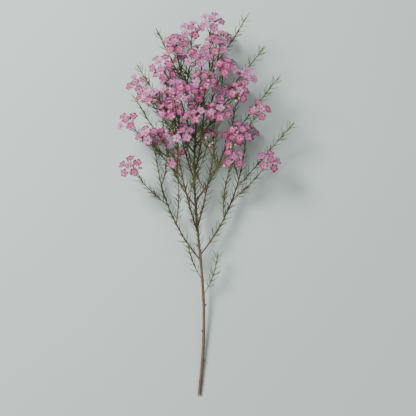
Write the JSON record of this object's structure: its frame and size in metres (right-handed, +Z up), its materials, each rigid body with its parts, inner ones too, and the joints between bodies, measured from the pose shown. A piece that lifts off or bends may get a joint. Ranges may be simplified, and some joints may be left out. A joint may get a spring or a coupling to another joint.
{
  "type": "waxflower stem",
  "caption": "Cut woody flower stem, lying flat, whose opposite needle-leaved branches end in domes of small pink five-petalled waxy flowers.",
  "frame": {"origin": "bottom centre of the bounding box of the whole stem, on the surface that it lies on", "axes": "+Y along the stem from its cut end to its flowering tip, +Z up from the surface, +X to the right seen from above"},
  "size_m": [0.262, 0.5604, 0.1155],
  "materials": {
    "bark": "thin grey-brown to red-brown bark, matt",
    "leaf": "green twig and needle leaves, slightly waxy",
    "petal": "magenta-pink waxy petals, soft sheen"
  },
  "bodies": {
    "root": {"flower_cluster_01": "petal", "flower_cluster_02": "petal", "flower_cluster_03": "petal", "flower_cluster_04": "petal", "flower_cluster_05": "petal", "flower_cluster_06": "petal", "flower_cluster_07": "petal", "flower_cluster_08": "petal", "flower_cluster_09": "petal", "flower_cluster_10": "petal", "flower_cluster_11": "petal", "flower_cluster_12": "petal", "flower_cluster_13": "petal", "flower_cluster_14": "petal", "flower_cluster_15": "petal", "flower_cluster_16": "petal", "flower_cluster_17": "petal", "flower_cluster_18": "petal", "flower_cluster_19": "petal", "flower_cluster_20": "petal", "flower_cluster_21": "petal", "flower_cluster_22": "petal", "flower_cluster_23": "petal", "flower_cluster_24": "petal", "flower_cluster_25": "petal", "flower_cluster_26": "petal", "flower_cluster_27": "petal", "flower_cluster_28": "petal", "flower_cluster_29": "petal", "flower_cluster_30": "petal", "flower_cluster_31": "petal", "flower_cluster_32": "petal", "flower_cluster_33": "petal", "flower_cluster_34": "petal", "flower_cluster_35": "petal", "flower_cluster_36": "petal", "flower_cluster_37": "petal", "flower_cluster_38": "petal", "flower_cluster_39": "petal", "flower_cluster_40": "petal", "flower_cluster_41": "petal", "flower_cluster_42": "petal", "flower_cluster_43": "petal", "leafy_branch_01": "leaf", "leafy_branch_02": "leaf", "leafy_branch_03": "leaf", "leafy_branch_04": "leaf", "leafy_branch_05": "leaf", "leafy_branch_06": "leaf", "leafy_branch_07": "leaf", "leafy_branch_08": "leaf", "leafy_branch_09": "leaf", "leafy_branch_10": "leaf", "leafy_branch_11": "leaf", "leafy_branch_12": "leaf", "leafy_branch_13": "leaf", "leafy_branch_14": "leaf", "main_stem": "bark"}
  },
  "joints": []
}
